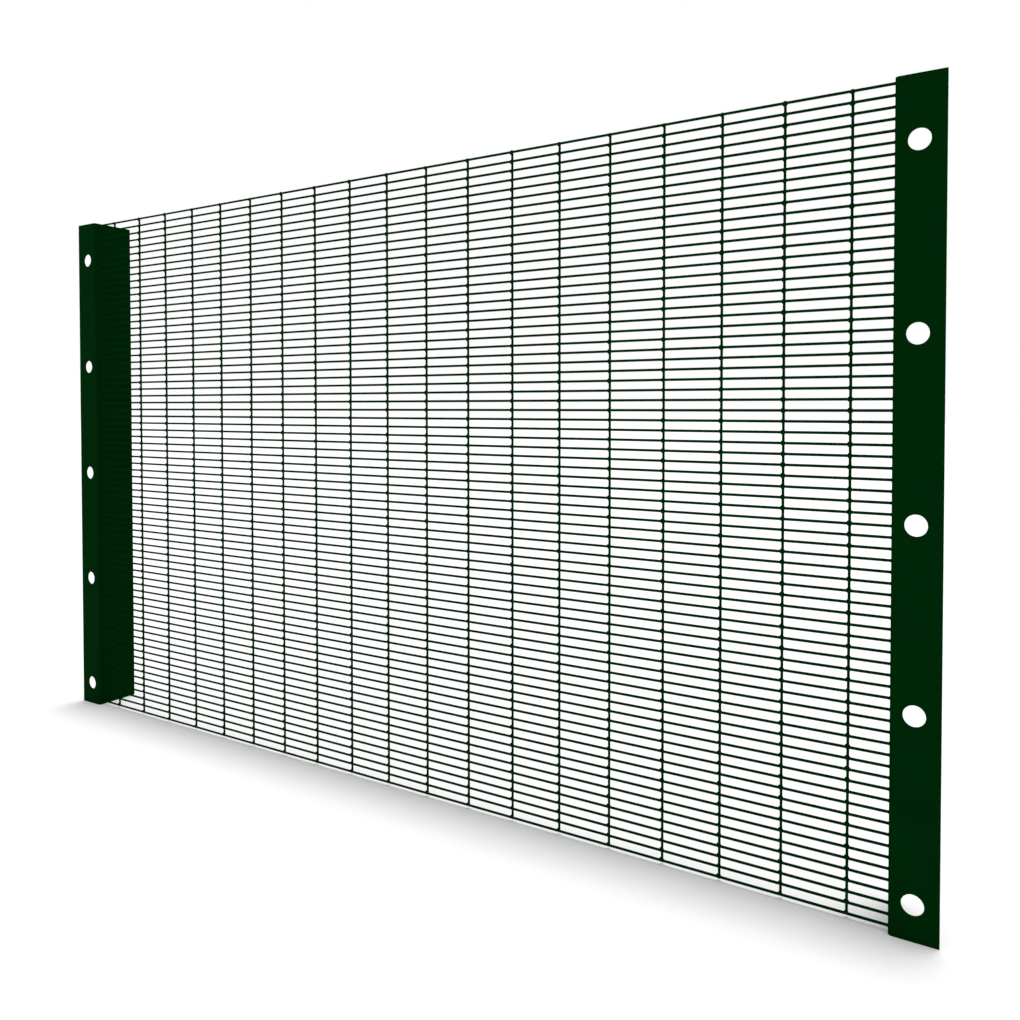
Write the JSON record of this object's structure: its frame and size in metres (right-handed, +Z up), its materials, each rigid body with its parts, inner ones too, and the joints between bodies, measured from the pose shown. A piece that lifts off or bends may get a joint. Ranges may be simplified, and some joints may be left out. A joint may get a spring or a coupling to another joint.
{
  "type": "anti-climb mesh fence panel",
  "caption": "Flat welded wire mesh fence panel with closely spaced cross wires, closed at each end by a folded steel angle flange with bolt holes for a post.",
  "frame": {"origin": "on the back of the left flange's hole strip, the face that bolts to a post, on the line of the bolt holes and midway between the second and third hole from the foot", "axes": "+X along the panel from the left flange to the right one, +Y out of the back of the panel, +Z up"},
  "size_m": [1.5702, 0.0715, 0.9374],
  "materials": {
    "green_powder_coat": "satin dark green powder coat over galvanised steel"
  },
  "bodies": {
    "root": {"left_flange": "green_powder_coat", "right_flange": "green_powder_coat", "line_wire_01": "green_powder_coat", "line_wire_02": "green_powder_coat", "line_wire_03": "green_powder_coat", "line_wire_04": "green_powder_coat", "line_wire_05": "green_powder_coat", "line_wire_06": "green_powder_coat", "line_wire_07": "green_powder_coat", "line_wire_08": "green_powder_coat", "line_wire_09": "green_powder_coat", "line_wire_10": "green_powder_coat", "line_wire_11": "green_powder_coat", "line_wire_12": "green_powder_coat", "line_wire_13": "green_powder_coat", "line_wire_14": "green_powder_coat", "line_wire_15": "green_powder_coat", "line_wire_16": "green_powder_coat", "line_wire_17": "green_powder_coat", "line_wire_18": "green_powder_coat", "line_wire_19": "green_powder_coat", "cross_wires_01": "green_powder_coat", "cross_wires_02": "green_powder_coat", "cross_wires_03": "green_powder_coat", "cross_wires_04": "green_powder_coat", "cross_wires_05": "green_powder_coat", "cross_wires_06": "green_powder_coat", "cross_wires_07": "green_powder_coat", "cross_wires_08": "green_powder_coat", "cross_wires_09": "green_powder_coat", "cross_wires_10": "green_powder_coat"}
  },
  "joints": []
}
